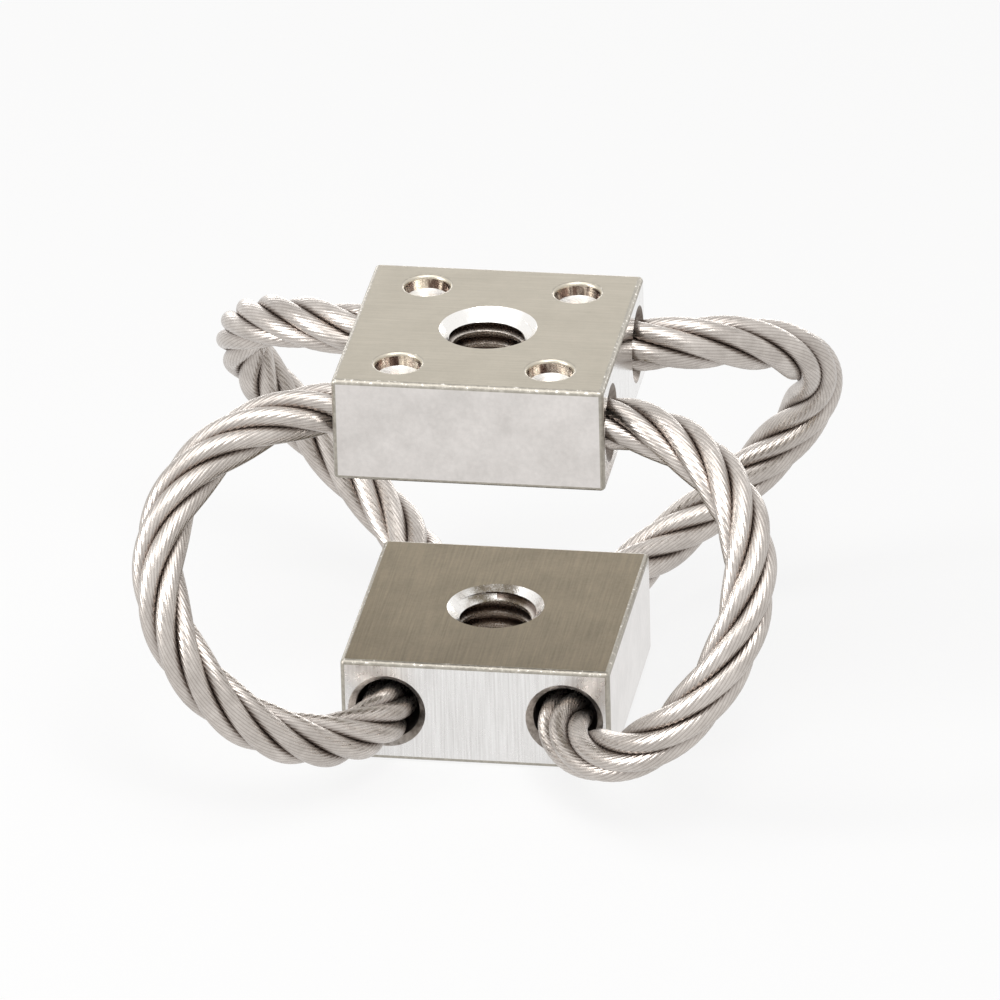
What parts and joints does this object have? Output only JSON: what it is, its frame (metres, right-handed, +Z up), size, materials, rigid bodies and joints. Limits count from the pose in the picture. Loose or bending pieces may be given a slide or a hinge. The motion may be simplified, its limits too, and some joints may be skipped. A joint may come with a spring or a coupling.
{
  "type": "wire rope isolator",
  "caption": "Compact wire rope isolator: two square metal blocks with tapped centre holes, held apart by loops of stranded steel rope that flex to absorb shock and vibration.",
  "frame": {"origin": "middle of the lower block's underside, the face that is bolted down", "axes": "+Z up through both tapped holes; the upper block's rope channels run along X and the lower block's along Y"},
  "size_m": [0.0588, 0.059, 0.0385],
  "materials": {
    "block_steel": "fine brushed, edges broken",
    "rope_wire": "bright drawn stainless wire"
  },
  "bodies": {
    "lower": {"lower_block": "block_steel", "front_left_core": "rope_wire", "front_right_core": "rope_wire", "back_left_core": "rope_wire", "back_right_core": "rope_wire", "front_left_strand_1": "rope_wire", "front_left_strand_2": "rope_wire", "front_left_strand_3": "rope_wire", "front_left_strand_4": "rope_wire", "front_left_strand_5": "rope_wire", "front_right_strand_1": "rope_wire", "front_right_strand_2": "rope_wire", "front_right_strand_3": "rope_wire", "front_right_strand_4": "rope_wire", "front_right_strand_5": "rope_wire", "back_left_strand_1": "rope_wire", "back_left_strand_2": "rope_wire", "back_left_strand_3": "rope_wire", "back_left_strand_4": "rope_wire", "back_left_strand_5": "rope_wire", "back_right_strand_1": "rope_wire", "back_right_strand_2": "rope_wire", "back_right_strand_3": "rope_wire", "back_right_strand_4": "rope_wire", "back_right_strand_5": "rope_wire"},
    "upper": {"upper_block": "block_steel"}
  },
  "joints": [
    {"name": "deflection", "type": "slide", "parent": "lower", "child": "upper", "axis": [0, 0, 1], "range_m": [-0.01, 0.005], "stiffness_N_per_m": 20000, "deforming": ["front_left_core", "front_right_core", "back_left_core", "back_right_core", "front_left_strand_1", "front_left_strand_2", "front_left_strand_3", "front_left_strand_4", "front_left_strand_5", "front_right_strand_1", "front_right_strand_2", "front_right_strand_3", "front_right_strand_4", "front_right_strand_5", "back_left_strand_1", "back_left_strand_2", "back_left_strand_3", "back_left_strand_4", "back_left_strand_5", "back_right_strand_1", "back_right_strand_2", "back_right_strand_3", "back_right_strand_4", "back_right_strand_5"]}
  ]
}
